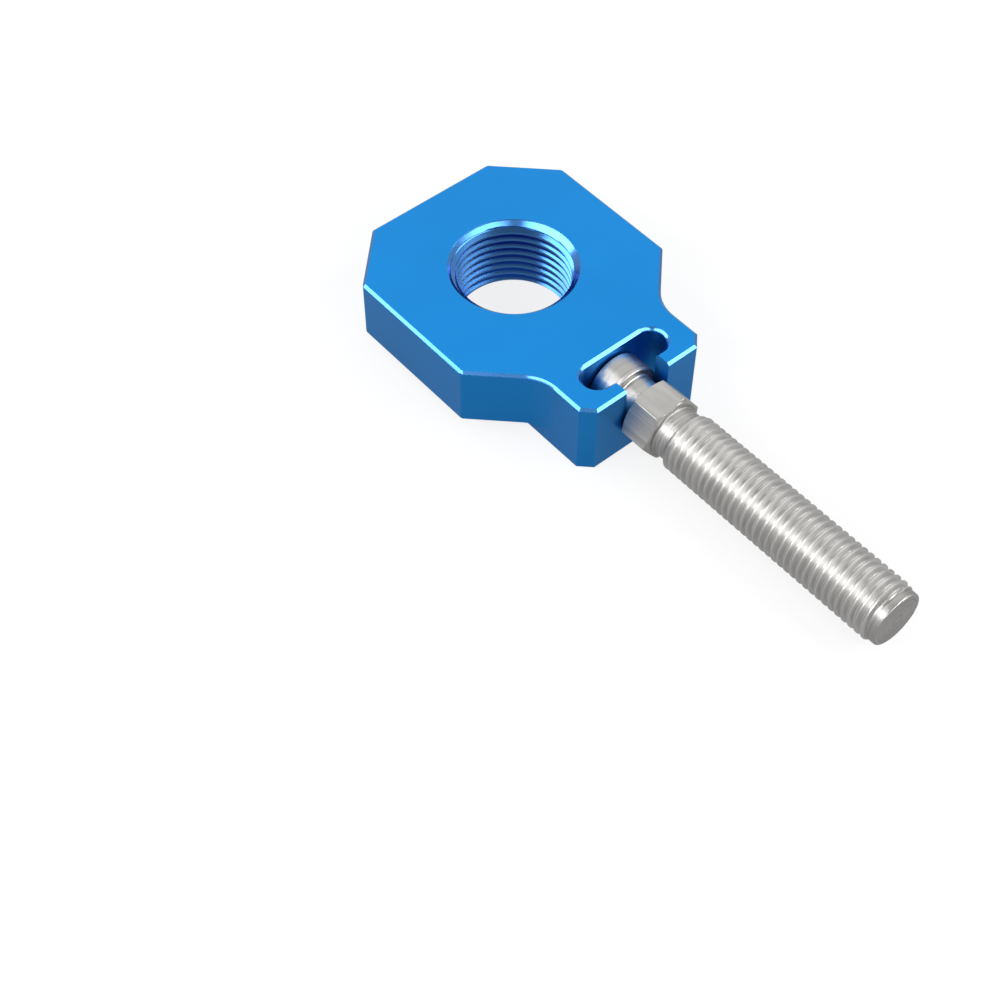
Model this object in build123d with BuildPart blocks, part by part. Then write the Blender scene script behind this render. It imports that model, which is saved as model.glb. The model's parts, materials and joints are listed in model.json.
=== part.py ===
"""Motorcycle chain adjuster: an axle block with its swivelling adjuster bolt.

Millimetres, Z up. The origin is on the axle bore's axis, in the plane of the plate's underside,
and X runs along the adjuster bolt towards its threaded end.
"""
from build123d import *
import math
import os

os.makedirs("parts", exist_ok=True)

# Axle block: the octagonal plate around the bore, and the tail in front of it
plate_length = 41.8
plate_width = 41.6
plate_thickness = 10.7
corner_cut = 8.85
corner_radius = 0.8
tail_wall = 2.91
tail_reach = 10.05
tail_corner_cut = 1.95
flare_radius = 7.0
edge_chamfer = 0.42
underside_chamfer = 0.15

# Axle block: the guide rib, as wide as the tail
rib_height = 2.6
rib_inset = 1.0
rib_corner_radius = 2.0

# Axle bore: minor diameter of an M20 x 1.5 thread, and the depth of its two mouths
bore_diameter = 18.38
top_mouth = 1.35
bottom_mouth = 0.9

# Adjuster bolt: M10 x 1.25 thread, tip and relief
thread_diameter = 10.0
thread_length = 42.8
run_in = 0.6
tip_length = 1.8
tip_shoulder = 0.4
tip_round = 0.35
relief_depth = 0.75
relief_length = 2.45
relief_root = 0.25

# Adjuster bolt: hexagonal collar, 10 mm across its flats
hex_shoulder = 0.75
hex_length = 5.8
hex_turn = 6.0
bevel_inset = 0.3
bevel_angle = 30.0

# Adjuster bolt: neck and head
neck_shoulder = 1.2
neck_root = 0.4
head_shoulder = 1.2
head_length = 4.5
head_edge = 0.2

# How the bolt sits in the tail
front_wall = 2.8
head_back_gap = 0.25
head_front_gap = 0.25
head_end_gap = 3.0
neck_gap = 0.5
collar_gap = 0.3
slot_chamfer = 0.46

# The tail is a wall wider than the bore at each side, and reaches past the plate
tail_width = bore_diameter + 2 * tail_wall
tail_front = plate_length / 2 + tail_reach

# Diameters of the bolt, each a step up or down from the one before
relief_diameter = thread_diameter - 2 * relief_depth
hex_across_flats = relief_diameter + 2 * hex_shoulder
bevel_diameter = hex_across_flats - 2 * bevel_inset
neck_diameter = hex_across_flats - 2 * neck_shoulder
head_diameter = neck_diameter + 2 * head_shoulder
tip_diameter = thread_diameter - 2 * tip_shoulder

# Slot and throat, which follow the bolt, and the bolt's places along X
slot_width = head_length + head_back_gap + head_front_gap
slot_length = head_diameter + 2 * head_end_gap
slot_x = tail_front - front_wall - slot_width / 2
throat_width = neck_diameter + 2 * neck_gap
head_x = slot_x - slot_width / 2 + head_back_gap
neck_x = head_x + head_length
hex_x = tail_front + collar_gap
relief_x = hex_x + hex_length
thread_x = relief_x + relief_length
tip_x = thread_x + thread_length

# The bolt lies halfway up the tail
block_height = plate_thickness + rib_height
bolt_height = plate_thickness - block_height / 2
bolt_line = Axis((0, 0, bolt_height), (1, 0, 0))
bolt_plane = Plane(origin=(0, 0, bolt_height), x_dir=(1, 0, 0), z_dir=(0, -1, 0))

# Corners of the block's plan on its +Y side, from the rear flat to the front one
plate_back = plate_length / 2
plate_side = plate_width / 2
tail_side = tail_width / 2
shoulder_x = plate_back - corner_cut
flare_x = shoulder_x + plate_side - tail_side
far_side = [
    (-plate_back, plate_side - corner_cut),
    (-shoulder_x, plate_side),
    (shoulder_x, plate_side),
    (flare_x, tail_side),
    (tail_front - tail_corner_cut, tail_side),
    (tail_front, tail_side - tail_corner_cut),
]
near_side = [(x, -y) for x, y in reversed(far_side)]


def bore_rim(part, end):
    """The sharp rim of the axle bore at the top (end -1) or the bottom (end 0)."""
    rims = part.edges().filter_by(GeomType.CIRCLE)
    rims = rims.filter_by(lambda edge: abs(edge.radius - bore_diameter / 2) < 0.01)
    return rims.sort_by(Axis.Z)[end]


def inner_ring(part, x):
    """The smallest of the bolt's rings that lie at this x."""
    rings = part.edges().filter_by(GeomType.CIRCLE)
    rings = rings.filter_by(lambda edge: abs(edge.center().X - x) < 0.01)
    return rings.sort_by(lambda edge: edge.radius)[0]


# Axle block
with BuildPart() as adjuster_block:
    # Plate and tail, with the upper edges broken more than the lower ones
    with BuildSketch() as plan:
        with BuildLine():
            Polyline(*far_side, *near_side, close=True)
        make_face()
        flare_corners = plan.vertices().filter_by(lambda v: abs(v.X - flare_x) < 0.01)
        fillet(flare_corners, radius=flare_radius)
        plate_corners = plan.vertices().filter_by(lambda v: v.X < shoulder_x + 0.01)
        fillet(plate_corners, radius=corner_radius)
    extrude(amount=plate_thickness)
    underside, top = adjuster_block.faces().filter_by(Axis.Z).sort_by(Axis.Z)
    chamfer(top.outer_wire().edges(), length=edge_chamfer)
    chamfer(underside.outer_wire().edges(), length=underside_chamfer)

    # Guide rib, which also makes the tail deeper
    with BuildSketch(Plane.XY.offset(-rib_height)) as rib_plan:
        rib_back = plate_back - rib_inset
        with Locations(((tail_front - rib_back) / 2, 0)):
            Rectangle(tail_front + rib_back, tail_width)
        fillet(rib_plan.vertices().group_by(Axis.X)[0], radius=rib_corner_radius)
        chamfer(rib_plan.vertices().group_by(Axis.X)[-1], length=tail_corner_cut)
    extrude(amount=rib_height + underside_chamfer)
    rib_face = adjuster_block.faces().sort_by(Axis.Z)[0]
    chamfer(rib_face.outer_wire().edges(), length=underside_chamfer)

    # Axle bore with its two mouths
    Hole(radius=bore_diameter / 2)
    chamfer(bore_rim(adjuster_block, -1), length=top_mouth)
    chamfer(bore_rim(adjuster_block, 0), length=bottom_mouth)

    # Slot for the bolt's head, open on both faces
    with BuildSketch(Plane.XY.offset(plate_thickness)):
        with Locations((slot_x, 0)):
            SlotOverall(slot_length, slot_width, rotation=90)
    extrude(amount=-block_height, mode=Mode.SUBTRACT)
    top_rims = adjuster_block.faces().sort_by(Axis.Z)[-1].inner_wires()
    chamfer(top_rims.sort_by(Axis.X)[-1].edges(), length=slot_chamfer)

    # Throat for the neck, round below and open at the top
    with BuildSketch(Plane.YZ.offset(slot_x)):
        with Locations((0, bolt_height)):
            Circle(throat_width / 2)
        with Locations((0, bolt_height + block_height / 4)):
            Rectangle(throat_width, block_height / 2)
    extrude(amount=tail_front - slot_x, mode=Mode.SUBTRACT)

adjuster_block.part.label = "adjuster_block"
export_step(adjuster_block.part, "parts/adjuster_block.step")

# Hexagonal collar of the bolt, bevelled at both ends
with BuildPart() as hex_collar:
    with BuildSketch(Plane.YZ.offset(hex_x)):
        with Locations((0, bolt_height)):
            RegularPolygon(hex_across_flats / 2, 6, major_radius=False, rotation=hex_turn)
    extrude(amount=hex_length)
    # The blank is a little wider than the corners, so only its cones cut them
    blank_radius = 0.6 * hex_across_flats
    bevel_run = (blank_radius - bevel_diameter / 2) * math.tan(math.radians(bevel_angle))
    with BuildSketch(bolt_plane):
        with BuildLine():
            Polyline(
                (hex_x, 0),
                (hex_x, bevel_diameter / 2),
                (hex_x + bevel_run, blank_radius),
                (relief_x - bevel_run, blank_radius),
                (relief_x, bevel_diameter / 2),
                (relief_x, 0),
                close=True,
            )
        make_face()
    revolve(axis=bolt_line, mode=Mode.INTERSECT)

# Adjuster bolt, turned in one piece around the collar
with BuildPart() as adjuster_bolt:
    with BuildSketch(bolt_plane):
        with BuildLine():
            Polyline(
                (head_x, 0),
                (head_x, head_diameter / 2 - head_edge),
                (head_x + head_edge, head_diameter / 2),
                (neck_x - head_edge, head_diameter / 2),
                (neck_x, head_diameter / 2 - head_edge),
                (neck_x, neck_diameter / 2),
                (hex_x, neck_diameter / 2),
                (hex_x, relief_diameter / 2),
                (thread_x, relief_diameter / 2),
                (thread_x + run_in, thread_diameter / 2),
                (tip_x - tip_length, thread_diameter / 2),
                (tip_x - tip_length + tip_shoulder, tip_diameter / 2),
                (tip_x, tip_diameter / 2),
                (tip_x, 0),
                close=True,
            )
        make_face()
    revolve(axis=bolt_line)
    add(hex_collar.part)
    fillet(inner_ring(adjuster_bolt, neck_x), radius=neck_root)
    fillet(inner_ring(adjuster_bolt, relief_x), radius=relief_root)
    fillet(inner_ring(adjuster_bolt, tip_x), radius=tip_round)

adjuster_bolt.part.label = "adjuster_bolt"
export_step(adjuster_bolt.part, "parts/adjuster_bolt.step")
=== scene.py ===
"""Motorcycle chain adjuster: the finish of its block and bolt, and the studio around them.

Metres, Z up. The axle bore's axis is Z, and the adjuster bolt points along +X.
"""
import json
import math

import bmesh
import bpy
from mathutils import Matrix, Vector


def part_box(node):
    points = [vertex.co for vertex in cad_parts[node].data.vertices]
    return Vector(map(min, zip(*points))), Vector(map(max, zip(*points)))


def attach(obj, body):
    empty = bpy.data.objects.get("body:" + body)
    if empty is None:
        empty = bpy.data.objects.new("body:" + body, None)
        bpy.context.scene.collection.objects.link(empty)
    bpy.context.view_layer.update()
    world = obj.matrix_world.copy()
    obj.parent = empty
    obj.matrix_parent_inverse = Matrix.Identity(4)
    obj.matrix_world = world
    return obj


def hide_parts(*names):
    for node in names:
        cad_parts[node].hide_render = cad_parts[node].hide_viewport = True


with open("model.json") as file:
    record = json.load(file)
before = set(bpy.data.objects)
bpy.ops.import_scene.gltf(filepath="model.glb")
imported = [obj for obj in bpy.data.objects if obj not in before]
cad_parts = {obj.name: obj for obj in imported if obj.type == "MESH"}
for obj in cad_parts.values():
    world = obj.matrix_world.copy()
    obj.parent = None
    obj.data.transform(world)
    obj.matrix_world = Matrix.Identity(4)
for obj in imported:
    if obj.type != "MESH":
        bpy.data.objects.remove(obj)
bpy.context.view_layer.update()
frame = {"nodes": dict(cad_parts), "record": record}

# Sizes that the frame gives
MOUNTS = {mount["name"]: mount for mount in frame["record"]["mounts"]}
BLOCK_LOW, BLOCK_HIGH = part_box("adjuster_block")
BOLT_LOW, BOLT_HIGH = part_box("adjuster_bolt")
BORE_RADIUS = MOUNTS["axle_thread"]["dims"]["r_mm"] / 1000
CREST_RADIUS = MOUNTS["bolt_thread"]["dims"]["r_mm"] / 1000
BOLT_HEIGHT = MOUNTS["bolt_thread"]["pos_m"][2]
HEX_MIDDLE = MOUNTS["spanner_hexagon"]["pos_m"][0]

# Threads, with the root's radius as a share of the pitch, and the steps they are made in
BOLT_PITCH = 0.00125
BOLT_CREST = BOLT_PITCH / 5
BORE_PITCH = 0.0015
BORE_CREST = BORE_PITCH / 8
BORE_ROOT_RADIUS = 0.010
FLANK_ANGLE = math.radians(30)
ROOT_ROUND = 0.144
TURN_STEPS = 96
FLANK_STEPS = 4
ROOT_STEPS = 6

# Axle bore's two mouths, and the band inside each rim that joins its skin to the faces
TOP_MOUTH = 0.00135
BOTTOM_MOUTH = 0.0009
RIM_BAND = 0.00015

# Adjuster bolt, from its head to its tip
HEAD_LENGTH = 0.0045
HEAD_RADIUS = 0.0050
HEAD_EDGE = 0.0002
NECK_RADIUS = 0.0038
NECK_ROOT = 0.0004
HEX_FLAT_RADIUS = 0.0050
HEX_LENGTH = 0.0058
HEX_TURN = math.radians(6)
BEVEL_RADIUS = 0.0047
BEVEL_SLOPE = math.tan(math.radians(30))
RELIEF_RADIUS = 0.00425
RELIEF_LENGTH = 0.00245
RELIEF_ROOT = 0.00025
RUN_IN = 0.0006
TIP_RADIUS = 0.0046
TIP_LENGTH = 0.0018
TIP_ROUND = 0.00035
THREAD_FADE = 0.0008

# Places along the bolt's line
HEAD_X = BOLT_LOW.x
NECK_X = HEAD_X + HEAD_LENGTH
HEX_X = HEX_MIDDLE - HEX_LENGTH / 2
RELIEF_X = HEX_X + HEX_LENGTH
THREAD_X = RELIEF_X + RELIEF_LENGTH
TIP_X = BOLT_HIGH.x

# Broken edges and how sharp an edge stays in the shading
BLOCK_BREAK = 0.00006
BOLT_BREAK = 0.00005
HEX_BREAK = 0.00012
SHARP_EDGE = math.radians(24)
FLAT_ANGLE = math.radians(0.3)
MERGE_DISTANCE = 0.000001

# Share of a face's normal along an axis: more points along it, less lies across it
ALONG = 0.9
ACROSS = 0.1

# Weight of the large faces where normals are averaged, which keeps flat faces flat
FLAT_WEIGHT = 100


def add_object(name, bm, materials):
    """A finished mesh with its materials as an object in the scene."""
    mesh = bpy.data.meshes.new(name)
    bm.to_mesh(mesh)
    bm.free()
    for material in materials:
        mesh.materials.append(material)
    made = bpy.data.objects.new(name, mesh)
    bpy.context.scene.collection.objects.link(made)
    return made


def new_piece(name, bm, materials, body, node):
    """A finished mesh as a piece that stands for its CAD node and rides with its body."""
    piece = add_object(name, bm, materials)
    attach(piece, body)
    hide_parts(node)
    return piece


def smooth_faces(piece):
    """Smooth curved faces, with the flat ones left flat and the sharp edges sharp."""
    piece.data.polygons.foreach_set("use_smooth", [True] * len(piece.data.polygons))
    piece.data.set_sharp_from_angle(angle=SHARP_EDGE)
    weighted = piece.modifiers.new("flat faces", "WEIGHTED_NORMAL")
    weighted.keep_sharp = True
    weighted.weight = FLAT_WEIGHT
    bpy.context.view_layer.update()
    shaped = piece.evaluated_get(bpy.context.evaluated_depsgraph_get())
    mesh = bpy.data.meshes.new_from_object(shaped)
    piece.modifiers.clear()
    piece.data = mesh


def sharp_edges(bm, angle):
    """The edges at which two faces meet at more than this angle."""
    return [e for e in bm.edges if len(e.link_faces) == 2 and e.calc_face_angle() > angle]


def open_edges(bm):
    """The edges of a skin's open ends."""
    return [e for e in bm.edges if len(e.link_faces) == 1]


def break_edges(bm, edges, width, segments=2):
    """Rounds these edges lightly."""
    bmesh.ops.bevel(
        bm,
        geom=edges,
        offset=width,
        segments=segments,
        profile=0.5,
        affect="EDGES",
        clamp_overlap=True,
        material=-1,
    )


def add_skin(bm, skin):
    """Adds one mesh under construction to another."""
    mesh = bpy.data.meshes.new("skin")
    skin.to_mesh(mesh)
    skin.free()
    bm.from_mesh(mesh)
    bpy.data.meshes.remove(mesh)


# Threads


def thread_profile(crest_radius, pitch, crest_flat):
    """One pitch as (place along it, radius): flat crest, straight flanks, round root."""
    crest_half = crest_flat / 2
    root_round = ROOT_ROUND * pitch
    sharp_depth = (pitch / 2 - crest_half) / math.tan(FLANK_ANGLE)
    centre = crest_radius - sharp_depth + root_round / math.sin(FLANK_ANGLE)
    swing = math.pi / 2 - FLANK_ANGLE
    root = []
    for k in range(ROOT_STEPS + 1):
        angle = swing * (2 * k / ROOT_STEPS - 1)
        place = pitch / 2 + root_round * math.sin(angle)
        root.append((place, centre - root_round * math.cos(angle)))
    flank_x, flank_radius = root[0]
    flank = []
    for k in range(FLANK_STEPS):
        share = k / FLANK_STEPS
        place = crest_half + share * (flank_x - crest_half)
        flank.append((place, crest_radius + share * (flank_radius - crest_radius)))
    far_flank = [(pitch - x, radius) for x, radius in reversed(flank)]
    return [(0, crest_radius), *flank, *root, *far_flank, (pitch, crest_radius)]


def helical_skin(profile, start_angle, turns):
    """A right-hand thread's skin along +X: its profile swept round and forward, then stacked."""
    pitch = profile[-1][0]
    bm = bmesh.new()
    verts = [bm.verts.new((x, radius, 0)) for x, radius in profile]
    edges = [bm.edges.new(pair) for pair in zip(verts, verts[1:])]
    turn = Matrix.Rotation(start_angle, 3, "X")
    bmesh.ops.rotate(bm, verts=verts, cent=(0, 0, 0), matrix=turn)
    bmesh.ops.spin(
        bm,
        geom=verts + edges,
        cent=(0, 0, 0),
        axis=(1, 0, 0),
        dvec=(pitch / TURN_STEPS, 0, 0),
        angle=2 * math.pi,
        steps=TURN_STEPS,
        use_duplicate=False,
    )
    one_turn = bm.verts[:] + bm.edges[:] + bm.faces[:]
    for k in range(1, turns):
        copied = bmesh.ops.duplicate(bm, geom=one_turn)["geom"]
        copied_verts = [g for g in copied if isinstance(g, bmesh.types.BMVert)]
        bmesh.ops.translate(bm, vec=(k * pitch, 0, 0), verts=copied_verts)
    bmesh.ops.remove_doubles(bm, verts=bm.verts, dist=MERGE_DISTANCE)
    return bm


def set_radii(bm, radius_at):
    """Gives each vertex round the X axis the radius that this rule makes of its own."""
    for v in bm.verts:
        radius = math.hypot(v.co.y, v.co.z)
        share = radius_at(v.co.x, radius) / radius
        v.co.y *= share
        v.co.z *= share


def cut_ends(bm, low, high):
    """Cuts a skin along X square at both ends, and gives back the far rim."""
    for place, outward in ((low, -1), (high, 1)):
        geom = bm.verts[:] + bm.edges[:] + bm.faces[:]
        cut = bmesh.ops.bisect_plane(
            bm,
            geom=geom,
            dist=MERGE_DISTANCE / 10,
            plane_co=(place, 0, 0),
            plane_no=(outward, 0, 0),
            clear_outer=True,
        )
    return [e for e in cut["geom_cut"] if isinstance(e, bmesh.types.BMEdge)]


# Axle block


def bore_radius_at(z, radius):
    """The bore's radius where its thread would have this one: never inside its wall or mouths."""
    top = BORE_RADIUS + max(0, z - (BLOCK_HIGH.z - TOP_MOUTH))
    bottom = BORE_RADIUS + max(0, BLOCK_LOW.z + BOTTOM_MOUTH - z)
    return max(radius, top, bottom)


def threaded_bore():
    """The bore's wall with its thread and both mouths, open a little inside each face."""
    first = BLOCK_LOW.z - BORE_PITCH
    turns = math.ceil((BLOCK_HIGH.z - first) / BORE_PITCH) + 1
    profile = thread_profile(BORE_ROOT_RADIUS, BORE_PITCH, BORE_CREST)
    bm = helical_skin(profile, 0, turns)
    bmesh.ops.translate(bm, vec=(first, 0, 0), verts=bm.verts)
    set_radii(bm, bore_radius_at)
    cut_ends(bm, BLOCK_LOW.z + RIM_BAND, BLOCK_HIGH.z - RIM_BAND)
    upright = Matrix.Rotation(-math.pi / 2, 3, "Y")
    bmesh.ops.rotate(bm, verts=bm.verts, cent=(0, 0, 0), matrix=upright)
    return bm


def in_bore(item, reach):
    """Whether all corners of this edge or face lie within this reach of the bore's axis."""
    return all(math.hypot(v.co.x, v.co.y) < reach for v in item.verts)


def is_machined(face):
    """Whether this face is cut after blasting: an upper chamfer or the bore's wall."""
    upright = abs(face.normal.z) < ACROSS
    level = abs(face.normal.z) > ALONG
    sloping = not upright and not level and face.calc_center_median().z > 0
    return sloping or not level and in_bore(face, BORE_ROOT_RADIUS + TOP_MOUTH)


def axle_block(blasted, cut):
    """The block with its bore threaded and its edges lightly rounded."""
    bm = bmesh.new()
    bm.from_mesh(frame["nodes"]["adjuster_block"].data)
    bmesh.ops.remove_doubles(bm, verts=bm.verts, dist=MERGE_DISTANCE)
    bmesh.ops.dissolve_limit(bm, angle_limit=FLAT_ANGLE, verts=bm.verts, edges=bm.edges)
    top_rim = BORE_RADIUS + TOP_MOUTH
    reach = top_rim + BLOCK_BREAK
    wall = [f for f in bm.faces if abs(f.normal.z) < ALONG and in_bore(f, reach)]
    bmesh.ops.delete(bm, geom=wall, context="FACES")
    add_skin(bm, threaded_bore())
    middle_z = (BLOCK_LOW.z + BLOCK_HIGH.z) / 2
    rims = open_edges(bm)
    upper = [e for e in rims if e.verts[0].co.z > middle_z]
    lower = [e for e in rims if e.verts[0].co.z < middle_z]
    bmesh.ops.bridge_loops(bm, edges=upper)
    bmesh.ops.bridge_loops(bm, edges=lower)
    bmesh.ops.recalc_face_normals(bm, faces=bm.faces)
    edges = [e for e in sharp_edges(bm, SHARP_EDGE) if not in_bore(e, BORE_ROOT_RADIUS)]
    break_edges(bm, edges, BLOCK_BREAK)
    for face in bm.faces:
        face.material_index = 1 if is_machined(face) else 0
    piece = new_piece(
        "axle_block", bm, [blasted, cut], "block", "adjuster_block"
    )
    smooth_faces(piece)


# Adjuster bolt


def bolt_profile():
    """The bolt's outline from the middle of its head to its relief, as (place along X, radius)."""
    corner_radius = HEX_FLAT_RADIUS / math.cos(math.pi / 6)
    return [
        (HEAD_X, 0),
        (HEAD_X, HEAD_RADIUS - HEAD_EDGE),
        (HEAD_X + HEAD_EDGE, HEAD_RADIUS),
        (NECK_X - HEAD_EDGE, HEAD_RADIUS),
        (NECK_X, HEAD_RADIUS - HEAD_EDGE),
        (NECK_X, NECK_RADIUS),
        (HEX_X, NECK_RADIUS),
        (HEX_X, BEVEL_RADIUS),
        (HEX_MIDDLE - HEX_LENGTH / 4, corner_radius),
        (HEX_MIDDLE + HEX_LENGTH / 4, corner_radius),
        (RELIEF_X, BEVEL_RADIUS),
        (RELIEF_X, RELIEF_RADIUS),
        (THREAD_X - RUN_IN / 2, RELIEF_RADIUS),
    ]


def shape_hexagon(bm):
    """Moves the two outer rings of the collar to six flats, whose corners two cones cut."""
    flat = math.pi / 3
    for v in bm.verts:
        radius = math.hypot(v.co.y, v.co.z)
        if radius < HEX_FLAT_RADIUS + MERGE_DISTANCE:
            continue
        angle = (math.atan2(v.co.z, v.co.y) - HEX_TURN) % flat - flat / 2
        reach = HEX_FLAT_RADIUS / math.cos(angle)
        run = (reach - BEVEL_RADIUS) * BEVEL_SLOPE
        front = v.co.x > HEX_MIDDLE
        v.co.x = RELIEF_X - run if front else HEX_X + run
        v.co.y *= reach / radius
        v.co.z *= reach / radius


def ring(bm, x, radius):
    """The edges of the ring at this place and radius."""
    found = []
    for e in bm.edges:
        if all(
            abs(v.co.x - x) < MERGE_DISTANCE
            and abs(math.hypot(v.co.y, v.co.z) - radius) < MERGE_DISTANCE
            for v in e.verts
        ):
            found.append(e)
    return found


def turned_body():
    """Head, neck, collar and relief, spun round the bolt's line and open at the thread's end."""
    bm = bmesh.new()
    verts = [bm.verts.new((x, radius, 0)) for x, radius in bolt_profile()]
    edges = [bm.edges.new(pair) for pair in zip(verts, verts[1:])]
    turn = Matrix.Rotation(HEX_TURN, 3, "X")
    bmesh.ops.rotate(bm, verts=verts, cent=(0, 0, 0), matrix=turn)
    bmesh.ops.spin(
        bm,
        geom=verts + edges,
        cent=(0, 0, 0),
        axis=(1, 0, 0),
        angle=2 * math.pi,
        steps=TURN_STEPS,
        use_merge=True,
        use_duplicate=False,
    )
    bmesh.ops.remove_doubles(bm, verts=bm.verts, dist=MERGE_DISTANCE)
    shape_hexagon(bm)
    bmesh.ops.recalc_face_normals(bm, faces=bm.faces)
    corners = [
        e for e in sharp_edges(bm, SHARP_EDGE)
        if abs(e.verts[0].co.x - e.verts[1].co.x) > HEX_LENGTH / 2
    ]
    break_edges(bm, corners, HEX_BREAK, segments=3)
    break_edges(bm, ring(bm, NECK_X, NECK_RADIUS), NECK_ROOT, segments=4)
    break_edges(bm, ring(bm, RELIEF_X, RELIEF_RADIUS), RELIEF_ROOT, segments=3)
    break_edges(bm, sharp_edges(bm, SHARP_EDGE), BOLT_BREAK)
    return bm


def shank_radius_at(x, radius):
    """The shank's radius where its thread would have this one: less at both its ends."""
    run_in = RELIEF_RADIUS + max(0, x - THREAD_X) * (CREST_RADIUS - RELIEF_RADIUS) / RUN_IN
    tip_x = TIP_X - TIP_LENGTH
    shoulder = max(TIP_RADIUS, CREST_RADIUS - max(0, x - tip_x))
    fade = min(1, max(0, (x - tip_x + THREAD_FADE) / THREAD_FADE))
    floor = fade * TIP_RADIUS
    past_round = max(0, x - (TIP_X - TIP_ROUND))
    rim = TIP_RADIUS - TIP_ROUND + math.sqrt(max(0, TIP_ROUND**2 - past_round**2))
    end = rim if past_round > 0 else CREST_RADIUS
    return min(max(radius, floor), run_in, shoulder, end)


def threaded_shank():
    """The shank's thread from its run-in to its flat end, open at the relief."""
    first = THREAD_X - BOLT_PITCH
    turns = math.ceil((TIP_X - first) / BOLT_PITCH) + 1
    profile = thread_profile(CREST_RADIUS, BOLT_PITCH, BOLT_CREST)
    bm = helical_skin(profile, HEX_TURN, turns)
    bmesh.ops.translate(bm, vec=(first, 0, 0), verts=bm.verts)
    set_radii(bm, shank_radius_at)
    end_rim = cut_ends(bm, THREAD_X, TIP_X - MERGE_DISTANCE)
    bmesh.ops.holes_fill(bm, edges=end_rim, sides=0)
    return bm


def adjuster_bolt(turned, drawn, threaded):
    """The whole bolt as one closed skin."""
    bm = turned_body()
    add_skin(bm, threaded_shank())
    bmesh.ops.bridge_loops(bm, edges=open_edges(bm))
    bmesh.ops.recalc_face_normals(bm, faces=bm.faces)
    for face in bm.faces:
        middle = face.calc_center_median()
        on_collar = abs(middle.x - HEX_MIDDLE) < HEX_LENGTH / 2
        if THREAD_X < middle.x < TIP_X - TIP_LENGTH:
            face.material_index = 2
        elif on_collar and abs(face.normal.x) < ACROSS:
            face.material_index = 1
    bmesh.ops.translate(bm, vec=(0, 0, BOLT_HEIGHT), verts=bm.verts)
    finishes = [turned, drawn, threaded]
    piece = new_piece(
        "adjuster_bolt_finish", bm, finishes, "bolt", "adjuster_bolt"
    )
    smooth_faces(piece)


# Shader nodes


def calculate(tree, operation, first, second):
    """The result of this operation on two sockets or numbers."""
    node = tree.nodes.new("ShaderNodeMath")
    node.operation = operation
    for socket, value in zip(node.inputs, (first, second)):
        if isinstance(value, (int, float)):
            socket.default_value = value
        else:
            tree.links.new(value, socket)
    return node.outputs[0]


def ranged(tree, value, source, target, interpolation="LINEAR"):
    """This value, moved from one range to another."""
    node = tree.nodes.new("ShaderNodeMapRange")
    node.interpolation_type = interpolation
    for name, number in zip(("From Min", "From Max", "To Min", "To Max"), (*source, *target)):
        node.inputs[name].default_value = number
    tree.links.new(value, node.inputs["Value"])
    return node.outputs["Result"]


def tinted(tree, factor, color, spread):
    """This colour, from darker to lighter by this share as the factor goes from 0 to 1."""
    mix = tree.nodes.new("ShaderNodeMix")
    mix.data_type = "RGBA"
    mix.inputs["A"].default_value = (*[(1 - spread) * c for c in color], 1)
    mix.inputs["B"].default_value = (*[min(1, (1 + spread) * c) for c in color], 1)
    tree.links.new(factor, mix.inputs["Factor"])
    return mix.outputs["Result"]


def relief_group(name, measure, kind, detail):
    """A group that gives a noise's value and bumped normal, with its input, place and noise."""
    group = bpy.data.node_groups.new(name, "ShaderNodeTree")
    sockets = [
        (measure, "INPUT", kind),
        ("Depth", "INPUT", "NodeSocketFloat"),
        ("Value", "OUTPUT", "NodeSocketFloat"),
        ("Normal", "OUTPUT", "NodeSocketVector"),
    ]
    for socket, way, socket_type in sockets:
        group.interface.new_socket(socket, in_out=way, socket_type=socket_type)
    nodes, links = group.nodes, group.links
    inputs = nodes.new("NodeGroupInput")
    outputs = nodes.new("NodeGroupOutput")
    place = nodes.new("ShaderNodeTexCoord")
    noise = nodes.new("ShaderNodeTexNoise")
    noise.inputs["Detail"].default_value = detail
    bump = nodes.new("ShaderNodeBump")
    bump.inputs["Strength"].default_value = 1
    links.new(noise.outputs["Fac"], bump.inputs["Height"])
    links.new(inputs.outputs["Depth"], bump.inputs["Distance"])
    links.new(noise.outputs["Fac"], outputs.inputs["Value"])
    links.new(bump.outputs["Normal"], outputs.inputs["Normal"])
    return group, inputs.outputs[measure], place.outputs["Object"], noise


def grain_group():
    """Fine even grain of a blasted or etched surface."""
    group, size, place, noise = relief_group(
        "blasted grain", "Size", "NodeSocketFloat", GRAIN_DETAIL
    )
    noise.inputs["Roughness"].default_value = GRAIN_ROUGHNESS
    group.links.new(place, noise.inputs["Vector"])
    group.links.new(calculate(group, "DIVIDE", 1, size), noise.inputs["Scale"])
    return group


def marks_group():
    """Marks of a tool or a die: noise drawn out round the bolt's line or along it."""
    group, scales, place, noise = relief_group(
        "tool marks", "Across", "NodeSocketVector", MARKS_DETAIL
    )
    nodes, links = group.nodes, group.links
    split = nodes.new("ShaderNodeSeparateXYZ")
    links.new(place, split.inputs[0])
    height = calculate(group, "SUBTRACT", split.outputs["Z"], BOLT_HEIGHT)
    across = nodes.new("ShaderNodeCombineXYZ")
    links.new(split.outputs["Y"], across.inputs["Y"])
    links.new(height, across.inputs["Z"])
    reach = nodes.new("ShaderNodeVectorMath")
    reach.operation = "LENGTH"
    links.new(across.outputs[0], reach.inputs[0])
    turned = nodes.new("ShaderNodeCombineXYZ")
    links.new(split.outputs["X"], turned.inputs["X"])
    links.new(reach.outputs["Value"], turned.inputs["Y"])
    links.new(height, turned.inputs["Z"])
    stretch = nodes.new("ShaderNodeVectorMath")
    stretch.operation = "MULTIPLY"
    links.new(turned.outputs[0], stretch.inputs[0])
    links.new(scales, stretch.inputs[1])
    noise.inputs["Scale"].default_value = 1
    links.new(stretch.outputs[0], noise.inputs["Vector"])
    return group


# Materials


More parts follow.
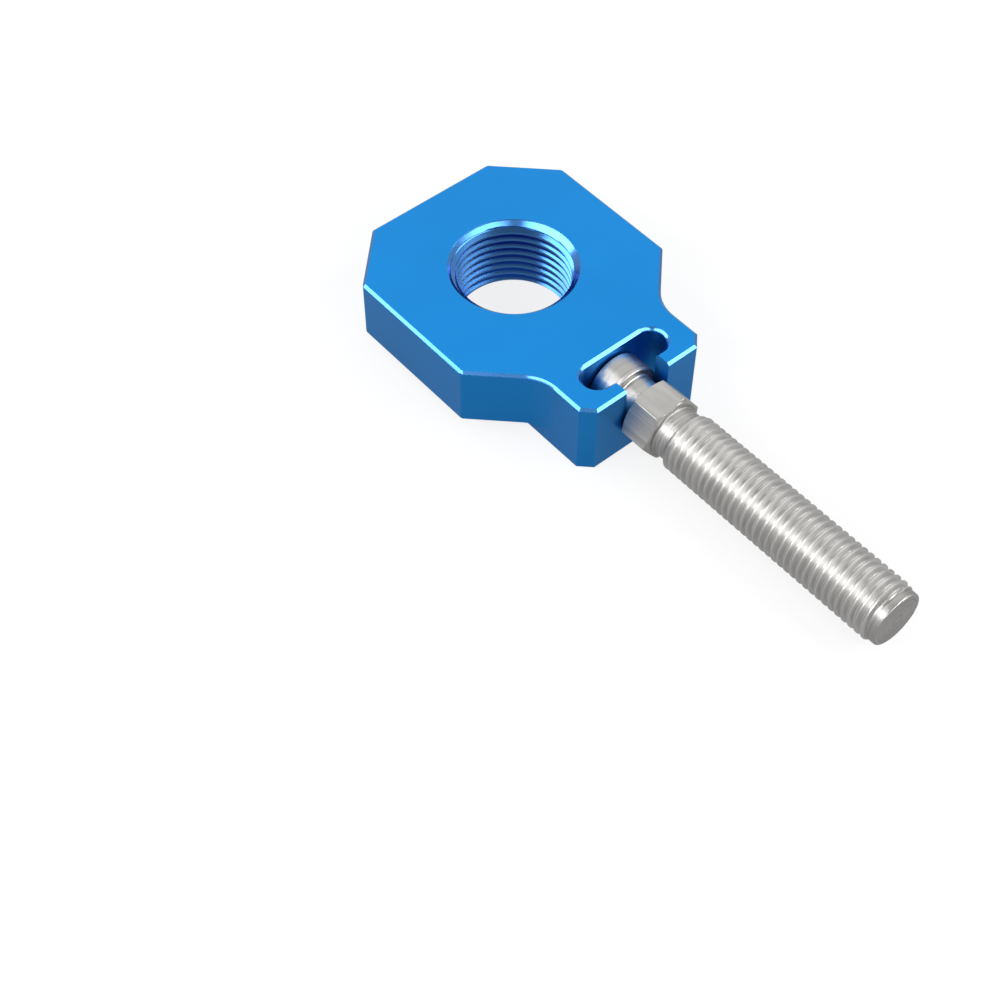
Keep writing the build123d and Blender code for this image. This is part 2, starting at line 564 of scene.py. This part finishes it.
def metal(name, relief, measure, depth, roughness, unevenness):
    """A metal with this relief, rougher and smoother with it: tree, shader and relief's value."""
    material = bpy.data.materials.new(name)
    material.use_nodes = True
    tree = material.node_tree
    shader = tree.nodes["Principled BSDF"]
    shader.inputs["Metallic"].default_value = 1
    surface = tree.nodes.new("ShaderNodeGroup")
    surface.node_tree = relief
    surface.inputs[0].default_value = measure
    surface.inputs["Depth"].default_value = depth
    value = surface.outputs["Value"]
    rough = ranged(tree, value, (0, 1), (roughness - unevenness, roughness + unevenness))
    tree.links.new(rough, shader.inputs["Roughness"])
    tree.links.new(surface.outputs["Normal"], shader.inputs["Normal"])
    return material, tree, shader, value


def anodised(name, color, roughness, coat, grain, grain_size, grain_depth):
    """Blue anodised aluminium, its dye a little uneven and its grain as the cutter left it."""
    material, tree, shader, _ = metal(
        name, grain, grain_size, grain_depth, roughness, BLUE_UNEVENNESS
    )
    shader.inputs["Coat Weight"].default_value = coat
    shader.inputs["Coat Roughness"].default_value = roughness
    place = tree.nodes.new("ShaderNodeTexCoord")
    clouds = tree.nodes.new("ShaderNodeTexNoise")
    clouds.inputs["Scale"].default_value = DYE_CLOUDS
    clouds.inputs["Detail"].default_value = DYE_DETAIL
    tree.links.new(place.outputs["Object"], clouds.inputs["Vector"])
    dye = tinted(tree, clouds.outputs["Fac"], color, DYE_SPREAD)
    tree.links.new(dye, shader.inputs["Base Color"])
    return material


def steel(name, color, roughness, anisotropy, marks, across, depth):
    """Bare stainless steel with marks of how it was made, and its shine drawn out by turning."""
    material, tree, shader, value = metal(
        name, marks, across, depth, roughness, STEEL_UNEVENNESS
    )
    shader.inputs["Anisotropic"].default_value = anisotropy
    round_bolt = tree.nodes.new("ShaderNodeTangent")
    round_bolt.direction_type = "RADIAL"
    round_bolt.axis = "X"
    tree.links.new(round_bolt.outputs["Tangent"], shader.inputs["Tangent"])
    tint = tinted(tree, value, color, STEEL_SPREAD)
    tree.links.new(tint, shader.inputs["Base Color"])
    return material


# Studio


def white_table():
    """A white table top that keeps a soft shadow and shows in the metal, where it is dimmer."""
    material = bpy.data.materials.new("white table")
    material.use_nodes = True
    tree = material.node_tree
    shader = tree.nodes["Principled BSDF"]
    shader.inputs["Base Color"].default_value = (*[TABLE_WHITE] * 3, 1)
    shader.inputs["Roughness"].default_value = TABLE_ROUGHNESS
    shader.inputs["Specular IOR Level"].default_value = 0
    shader.inputs["Emission Color"].default_value = (1, 1, 1, 1)
    rays = tree.nodes.new("ShaderNodeLightPath").outputs
    in_metal = calculate(tree, "MULTIPLY", rays["Is Glossy Ray"], TABLE_IN_METAL)
    seen = calculate(tree, "MAXIMUM", rays["Is Camera Ray"], in_metal)
    seen = calculate(tree, "MAXIMUM", seen, rays["Is Transmission Ray"])
    glow = calculate(tree, "MULTIPLY", seen, TABLE_GLOW)
    tree.links.new(glow, shader.inputs["Emission Strength"])
    bm = bmesh.new()
    bmesh.ops.create_grid(bm, x_segments=1, y_segments=1, size=TABLE_REACH)
    bmesh.ops.translate(bm, vec=(0, 0, BLOCK_LOW.z), verts=bm.verts)
    add_object("table", bm, [material])


def studio_world():
    """A pale room that is dark overhead and brightest above the back."""
    world = bpy.data.worlds.new("studio")
    bpy.context.scene.world = world
    world.use_nodes = True
    tree = world.node_tree
    background = tree.nodes["Background"]
    background.inputs["Color"].default_value = (1, 1, 1, 1)
    direction = tree.nodes.new("ShaderNodeTexCoord").outputs["Generated"]
    facing = tree.nodes.new("ShaderNodeVectorMath")
    facing.operation = "DOT_PRODUCT"
    facing.inputs[1].default_value = ROOM_BRIGHTEST
    tree.links.new(direction, facing.inputs[0])
    height = tree.nodes.new("ShaderNodeSeparateXYZ")
    tree.links.new(direction, height.inputs[0])
    bright = ranged(
        tree, facing.outputs["Value"], BRIGHT_EDGE, (0, ROOM_BRIGHT), "SMOOTHSTEP"
    )
    walls = ranged(
        tree, height.outputs["Z"], WALL_TOP, (ROOM_WALLS, ROOM_OVERHEAD), "SMOOTHSTEP"
    )
    brightest = calculate(tree, "MAXIMUM", bright, walls)
    tree.links.new(brightest, background.inputs["Strength"])


def strip_softbox(name, near_end, far_end, width, radiance):
    """A long soft light whose two ends the object sees in these directions."""
    ends = [Vector(end).normalized() * STUDIO_REACH for end in (near_end, far_end)]
    along = ends[0] - ends[1]
    centre = (ends[0] + ends[1]) / 2
    light = bpy.data.lights.new(name, "AREA")
    light.shape = "RECTANGLE"
    light.size = along.length
    light.size_y = width
    light.energy = radiance * math.pi * light.size * light.size_y
    lamp = bpy.data.objects.new(name, light)
    x_axis = along.normalized()
    z_axis = centre.normalized()
    y_axis = z_axis.cross(x_axis)
    lamp.matrix_world = Matrix((x_axis, y_axis, z_axis)).transposed().to_4x4()
    lamp.location = centre + Vector((BLOCK_HIGH.x, 0, BOLT_HEIGHT))
    bpy.context.scene.collection.objects.link(lamp)


def camera():
    """The photograph's own view."""
    data = bpy.data.cameras.new("camera")
    data.lens = LENS
    data.sensor_width = SENSOR_WIDTH
    eye = bpy.data.objects.new("camera", data)
    eye.location = CAMERA_PLACE
    eye.rotation_euler = CAMERA_TURN
    bpy.context.scene.collection.objects.link(eye)
    bpy.context.scene.camera = eye


# Camera place and turn, and the lens and sensor in millimetres, from the perspective
CAMERA_PLACE = Vector((0.15661, -0.13579, 0.21622))
CAMERA_TURN = [math.radians(a) for a in (37.979, -0.111, 49.789)]
LENS = 66.22
SENSOR_WIDTH = 36

# Room: its strengths, where it is brightest, and the ranges over which those strengths change
ROOM_BRIGHT = 1.0
ROOM_WALLS = 0.57
ROOM_OVERHEAD = 0.19
ROOM_BRIGHTEST = (-0.522, 0.453, 0.722)
BRIGHT_EDGE = (0.65, 0.96)
WALL_TOP = (0.6, 0.92)

# Table: its colour, its own white and the share of that which shows in metal
TABLE_WHITE = 0.16
TABLE_ROUGHNESS = 0.9
TABLE_GLOW = 0.82
TABLE_IN_METAL = 0.33
TABLE_REACH = 3.0

# Strip softboxes: their distance, and the width and radiance of the low and the high ones
STUDIO_REACH = 0.5
LOW_STRIP = (0.10, 5.5)
HIGH_STRIP = (0.06, 4.5)

# Anodising: its colours, how uneven they and the shine are, and its grain
BLUE = (0.0065, 0.27, 0.735)
PALE_BLUE = (0.045, 0.267, 0.73)
BLUE_UNEVENNESS = 0.04
DYE_SPREAD = 0.07
DYE_CLOUDS = 60
DYE_DETAIL = 2
GRAIN_DETAIL = 3
GRAIN_ROUGHNESS = 0.6
GRAIN_SIZE = 0.00012
BLASTED_DEPTH = 0.000002
CUT_DEPTH = 0.0000005

# Steel: its colours, how uneven they and the shine are, and how close its marks lie
TURNED_GREY = (0.48, 0.472, 0.458)
DRAWN_GREY = (0.53, 0.52, 0.505)
THREAD_GREY = (0.66, 0.652, 0.64)
STEEL_UNEVENNESS = 0.08
STEEL_SPREAD = 0.4
MARKS_DETAIL = 4
TURNED_MARKS = (2500, 2500, 0)
DRAWN_MARKS = (80, 2000, 2000)
THREAD_MARKS = (4000, 4000, 0)
TURNED_DEPTH = 0.0001
DRAWN_DEPTH = 0.00003
THREAD_DEPTH = 0.000001

grain = grain_group()
marks = marks_group()
blasted_blue = anodised(
    "blasted blue anodising", BLUE, 0.36, 0.2, grain, GRAIN_SIZE, BLASTED_DEPTH
)
cut_blue = anodised("cut blue anodising", PALE_BLUE, 0.2, 1, grain, GRAIN_SIZE, CUT_DEPTH)
turned_steel = steel("turned steel", TURNED_GREY, 0.3, 0.7, marks, TURNED_MARKS, TURNED_DEPTH)
drawn_steel = steel("drawn hexagon", DRAWN_GREY, 0.44, 0, marks, DRAWN_MARKS, DRAWN_DEPTH)
thread_steel = steel("threaded steel", THREAD_GREY, 0.36, 0, marks, THREAD_MARKS, THREAD_DEPTH)

axle_block(blasted_blue, cut_blue)
adjuster_bolt(turned_steel, drawn_steel, thread_steel)

white_table()
studio_world()
strip_softbox("low left strip", (0.35, -0.67, 0.65), (-0.84, -0.47, 0.28), *LOW_STRIP)
strip_softbox("high left strip", (-0.24, -0.43, 0.87), (-0.88, -0.08, 0.48), *HIGH_STRIP)
strip_softbox("low right strip", (0.64, -0.40, 0.65), (0.53, 0.80, 0.28), *LOW_STRIP)
strip_softbox("high right strip", (0.44, 0.21, 0.87), (0.14, 0.87, 0.48), *HIGH_STRIP)
camera()
bpy.context.scene.view_settings.view_transform = "Standard"
